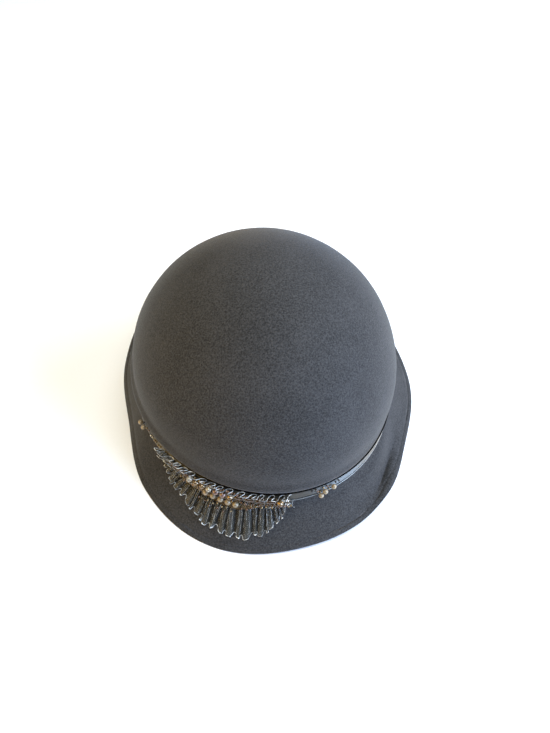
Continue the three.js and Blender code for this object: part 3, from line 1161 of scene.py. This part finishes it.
class HAT_OT_beads(bpy.types.Operator):
    """Sews on the pearls, the cut beads and the long glass beads"""

    bl_idname = "hat.beads"
    bl_label = "Main beads"

    def execute(self, context):
        look = bead_look()
        pearl = pearl_finish(look)
        amber = glass_finish("amber_crystal", look.amber, 0.35, 0.45)
        clear = glass_finish("clear_crystal", CLEAR_GLASS, 0.45, 0.3)
        rose = glass_finish("rose_crystal", ROSE_GLASS, 0.3, 0.35)
        brown = glass_finish("brown_glass", look.brown, 0.35, 0.2)
        for kind in ("pearl", "small_pearl"):
            pattern = turned_bead(kind, scaled(arc(MAIN_BEADS[kind], 0.32, 18), MM), 28)
            self.string(pattern, kind, "pearl", lambda k: pearl)
        pattern = turned_bead("crystal", scaled(CRYSTAL_PROFILE, MM), 10, facets=True)
        colours = [clear, amber, amber, clear, rose, rose, amber, amber]
        self.string(pattern, "crystal", "amber_crystal", lambda k: colours[k])
        pattern = turned_bead("bugle", scaled(BUGLE_PROFILE, MM), 16)
        self.string(pattern, "bugle", "brown_glass", lambda k: brown)
        return {"FINISHED"}

    def string(self, pattern, kind, slot, finish):
        names = row_of(kind)
        for k, (name, middle, way) in enumerate(zip(names, *thread_ways(names))):
            bead = copy_bead(pattern, f"{name}_bead", middle, way)
            settle_in(bead, slot, finish(k), replaces=[name])
        drop_pattern(pattern)


def fan_seat(along, out, radius):
    """Centre and thread direction of a small bead that lies on the fan."""

    def centre(at):
        bearing, station = ruffle_place(FAN_SEWN, FAN_FREE, at, out)
        over = rest_height(station) + 0.9 + between(FAN_HEIGHTS, max(0.0, out))
        return on_felt(bearing, station, over + radius / MM)

    return centre(along), centre(along + 0.01) - centre(along - 0.01)


def band_seat(bearing, height, radius):
    """Centre and thread direction of a small bead that lies on the band."""
    proud = CLEARANCE + BAND_THICK + radius / MM
    way = on_band(bearing + 1, height, proud) - on_band(bearing - 1, height, proud)
    return on_band(bearing, height, proud), way


# Rows of seed beads on the fan: colour, first and last share along it, share out, and how many.
FAN_SEEDS = (
    ("brown", 0.05, 0.30, 0.04, 10),
    ("copper", 0.10, 0.26, -0.05, 6),
    ("gold", 0.31, 0.47, -0.10, 8),
    ("silver", 0.44, 0.53, -0.06, 3),
    ("copper", 0.50, 0.66, -0.12, 8),
    ("gold", 0.52, 0.66, 0.02, 5),
    ("brown", 0.64, 0.92, -0.08, 13),
    ("gold", 0.66, 0.80, 0.04, 4),
    ("gold", 0.33, 0.44, 0.46, 6),
    ("gold", 0.44, 0.64, 0.42, 9),
    ("copper", 0.52, 0.70, 0.52, 7),
    ("brown", 0.66, 0.92, 0.34, 11),
    ("gold", 0.70, 0.86, 0.46, 5),
    ("gold", 0.46, 0.62, 0.74, 6),
    ("brown", 0.40, 0.58, 0.78, 5),
    ("copper", 0.64, 0.74, 0.66, 3),
    ("copper", 0.86, 0.95, 0.02, 4),
    ("copper", 0.88, 0.97, 0.5, 4),
    ("silver", 0.95, 1.0, 0.0, 3),
    ("silver", 0.95, 1.0, 0.35, 3),
    ("gold", 0.96, 1.0, 0.6, 2),
    ("gold", 0.22, 0.40, 0.36, 9),
    ("copper", 0.26, 0.44, 0.56, 8),
    ("gold", 0.34, 0.66, 0.64, 14),
)

# Single seed beads on the band: colour, bearing and height over the band's foot.
BAND_SEEDS = (
    ("dark", -75.5, 6.4),
    ("gold", -72.5, 6.0),
    ("copper", -70.8, 7.6),
    ("silver", -69.0, 5.4),
    ("silver", -67.6, 6.6),
    ("gold", -66.2, 5.6),
    ("gold", -65.0, 6.8),
    ("gold", -63.6, 5.6),
    ("gold", -62.2, 6.6),
    ("dark", 4.6, 8.6),
    ("dark", 6.2, 8.8),
    ("copper", 7.0, 6.6),
    ("gold", 8.2, 4.6),
    ("gold", 9.4, 8.6),
    ("copper", 11.2, 8.4),
    ("gold", 12.4, 3.6),
    ("dark", 13.6, 8.6),
    ("dark", 15.2, 8.4),
    ("dark", 16.8, 8.2),
)

# Each colour's tone, clearness and share of metal.
SEED_COLOURS = {
    "gold": ((0.28, 0.20, 0.10), 0.0, 0.6),
    "copper": ((0.20, 0.115, 0.075), 0.0, 0.5),
    "brown": ((0.13, 0.065, 0.03), 0.3, 0.3),
    "silver": ((0.62, 0.60, 0.56), 0.0, 0.8),
    "dark": ((0.022, 0.018, 0.017), 0.2, 0.1),
}


class HAT_OT_seed_beads(bpy.types.Operator):
    """Fills in round the main beads with seed beads"""

    bl_idname = "hat.seed_beads"
    bl_label = "Seed beads"

    def execute(self, context):
        radius = bead_look().seed_radius
        pattern = turned_bead("seed", scaled(SEED_PROFILE, radius), 10)
        draw = random.Random(7)
        places = {colour: [] for colour in SEED_COLOURS}
        for colour, start, end, out, count in FAN_SEEDS:
            for k in range(count):
                along = start + (end - start) * (k + 0.5 + draw.uniform(-0.2, 0.2)) / count
                size = draw.uniform(0.82, 1.05)
                centre, way = fan_seat(along, out + draw.uniform(-0.03, 0.03), radius * size)
                way = way.normalized() + Vector((draw.uniform(-0.5, 0.5), draw.uniform(-0.5, 0.5), 0))
                places[colour].append((centre, way, size))
        for colour, bearing, height in BAND_SEEDS:
            size = draw.uniform(0.85, 1.0)
            centre, way = band_seat(bearing, height, radius * size)
            places[colour].append((centre, way, size))
        for colour, spots in places.items():
            tone, clear, metal = SEED_COLOURS[colour]
            beads = strew_beads(pattern, f"{colour}_seed_beads", self.clear_of_main(spots, radius))
            smooth_shade(beads, 50)
            settle_in(beads, "amber_crystal", glass_finish(f"{colour}_seed_glass", tone, clear, metal))
        drop_pattern(pattern)
        return {"FINISHED"}

    def clear_of_main(self, spots, radius):
        """Leaves out a seed bead that would lie in a main bead."""
        mains = []
        for kind, size in MAIN_BEADS.items():
            mains += [(node_middle(n), size * MM) for n in row_of(kind)]
        return [
            spot
            for spot in spots
            if all((spot[0] - middle).length > size + 0.8 * radius for middle, size in mains)
        ]


class HAT_OT_threads(bpy.types.Operator):
    """Runs the bead thread through each row, and tacks its ends down"""

    bl_idname = "hat.threads"
    bl_label = "Bead threads"

    # How far a thread runs on from the last bead before it goes down, and how deep, in millimetres.
    TACK_REACH = 2.4
    TACK_DEPTH = 2.6

    def execute(self, context):
        look = bead_look()
        crystals, bugles = row_of("crystal"), row_of("bugle")
        rows = [crystals[:-1] + bugles + crystals[-1:], row_of("pearl")]
        lines = [self.tacked([node_middle(n) for n in names]) for names in rows]
        threads = add_threads("bead_threads", lines, look.thread_radius)
        finish = Finish("brown_silk_thread", Specular_IOR_Level=0.5, Sheen_Weight=0.3)
        twist = finish.grain(finish.place(), 0.4 * MM, detail=2)
        finish.drive("Base Color", finish.colours(twist, *THREAD_COLOURS))
        finish.rough(twist, 0.4, 0.65)
        finish.emboss(twist, 0.3, 0.05 * MM)
        settle_in(threads, "organza", finish.material)
        return {"FINISHED"}

    def tacked(self, points):
        """A row's line, with both ends led down into the cloth under them."""
        down = Vector((0, 0, -self.TACK_DEPTH * MM))
        first, last = points[0] - points[1], points[-1] - points[-2]
        start = points[0] + first.normalized() * self.TACK_REACH * MM
        end = points[-1] + last.normalized() * self.TACK_REACH * MM
        return [start + down, start, *points, end, end + down]


# The lights: the setting with its power, its place and width in metres, and its colour.
LIGHTS = (
    ("side_light", (0.95, -0.05, 0.55), 0.9, (1.0, 0.98, 0.99)),
    ("window_light", (0.75, -0.75, 0.5), 0.7, (0.45, 0.64, 1.0)),
    ("top_light", (0.0, 0.0, 1.4), 1.2, (0.90, 0.98, 1.0)),
    ("room_light", (-1.0, -0.15, 0.5), 0.8, (1.0, 0.62, 0.12)),
)
LIGHTS_AIM = (0, 0, 0.06)
ROOM_COLOUR = (0.05, 0.05, 0.05, 1)

# The camera's place in metres, its turn in degrees, and its lens and sensor in millimetres.
CAMERA_PLACE = (-0.1001, -0.29434, 0.42467)
CAMERA_TURN = (38.171, -3.419, -14.524)
CAMERA_LENS = 34.38
CAMERA_SENSOR = 36.0


class HAT_OT_stage(bpy.types.Operator):
    """Sets the floor, the soft lights and the camera"""

    bl_idname = "hat.stage"
    bl_label = "Floor, lights and camera"

    def execute(self, context):
        look = context.scene.hat_stage
        bpy.ops.object.select_all(action="DESELECT")
        bpy.ops.mesh.primitive_plane_add(size=6)
        floor = bpy.context.object
        floor.name = "floor"
        paper = Finish("pale_paper", Specular_IOR_Level=0.2)
        tooth = paper.grain(paper.place(), 2 * MM, detail=3)
        paper.tint(tooth, look.floor, 0.985, 1.0)
        paper.rough(tooth, 0.8, 0.95)
        floor.data.materials.append(paper.material)
        for name, place, size, colour in LIGHTS:
            self.light(name, place, size, getattr(look, name), colour)
        world = bpy.data.worlds.new("plain_room")
        world.use_nodes = True
        world.node_tree.nodes["Background"].inputs["Color"].default_value = ROOM_COLOUR
        context.scene.world = world
        context.scene.view_settings.view_transform = "Standard"
        self.camera(context)
        return {"FINISHED"}

    def light(self, name, place, size, power, colour):
        lamp = bpy.data.lights.new(name, "AREA")
        lamp.shape = "DISK"
        lamp.size = size
        lamp.energy = power
        lamp.color = colour
        holder = link_new(name, lamp)
        holder.location = place
        aim = Vector(LIGHTS_AIM) - holder.location
        holder.rotation_euler = aim.to_track_quat("-Z", "Y").to_euler()

    def camera(self, context):
        """The photograph's own viewpoint, from in front, above and a little to the wearer's right."""
        lens = bpy.data.cameras.new("photo_camera")
        lens.sensor_width = CAMERA_SENSOR
        lens.lens = CAMERA_LENS
        lens.clip_start, lens.clip_end = 0.02, 20
        camera = link_new("photo_camera", lens)
        camera.location = CAMERA_PLACE
        camera.rotation_euler = [math.radians(a) for a in CAMERA_TURN]
        context.scene.camera = camera


class HAT_PT_panel(bpy.types.Panel):
    """The hat's pieces, in the order in which they are made"""

    bl_idname = "HAT_PT_panel"
    bl_label = "Felt cloche hat"
    bl_space_type = "VIEW_3D"
    bl_region_type = "UI"
    bl_category = "Hat"

    def draw(self, context):
        for operator in OPERATORS:
            self.layout.operator(operator.bl_idname)
        for name in SETTINGS:
            group = getattr(context.scene, name)
            box = self.layout.box()
            for field in group.bl_rna.properties:
                if field.identifier not in {"rna_type", "name"}:
                    box.prop(group, field.identifier)


SETTINGS = {
    "hat_felt": HatFeltLook,
    "hat_trim": HatTrimLook,
    "hat_beads": HatBeadLook,
    "hat_stage": HatStageLook,
}
OPERATORS = (
    HAT_OT_felt,
    HAT_OT_band,
    HAT_OT_organza,
    HAT_OT_beads,
    HAT_OT_seed_beads,
    HAT_OT_threads,
    HAT_OT_stage,
)


def register():
    for group in SETTINGS.values():
        bpy.utils.register_class(group)
    for operator in (*OPERATORS, HAT_PT_panel):
        bpy.utils.register_class(operator)
    for name, group in SETTINGS.items():
        setattr(bpy.types.Scene, name, bpy.props.PointerProperty(type=group))


def unregister():
    for name in SETTINGS:
        delattr(bpy.types.Scene, name)
    for operator in (*OPERATORS, HAT_PT_panel):
        bpy.utils.unregister_class(operator)
    for group in SETTINGS.values():
        bpy.utils.unregister_class(group)


def main():
    register()
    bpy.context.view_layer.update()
    bpy.ops.hat.felt()
    bpy.ops.hat.band()
    bpy.ops.hat.organza()
    bpy.ops.hat.beads()
    bpy.ops.hat.seed_beads()
    bpy.ops.hat.threads()
    bpy.ops.hat.stage()
    bpy.context.view_layer.update()


if __name__ == "__main__":
    main()
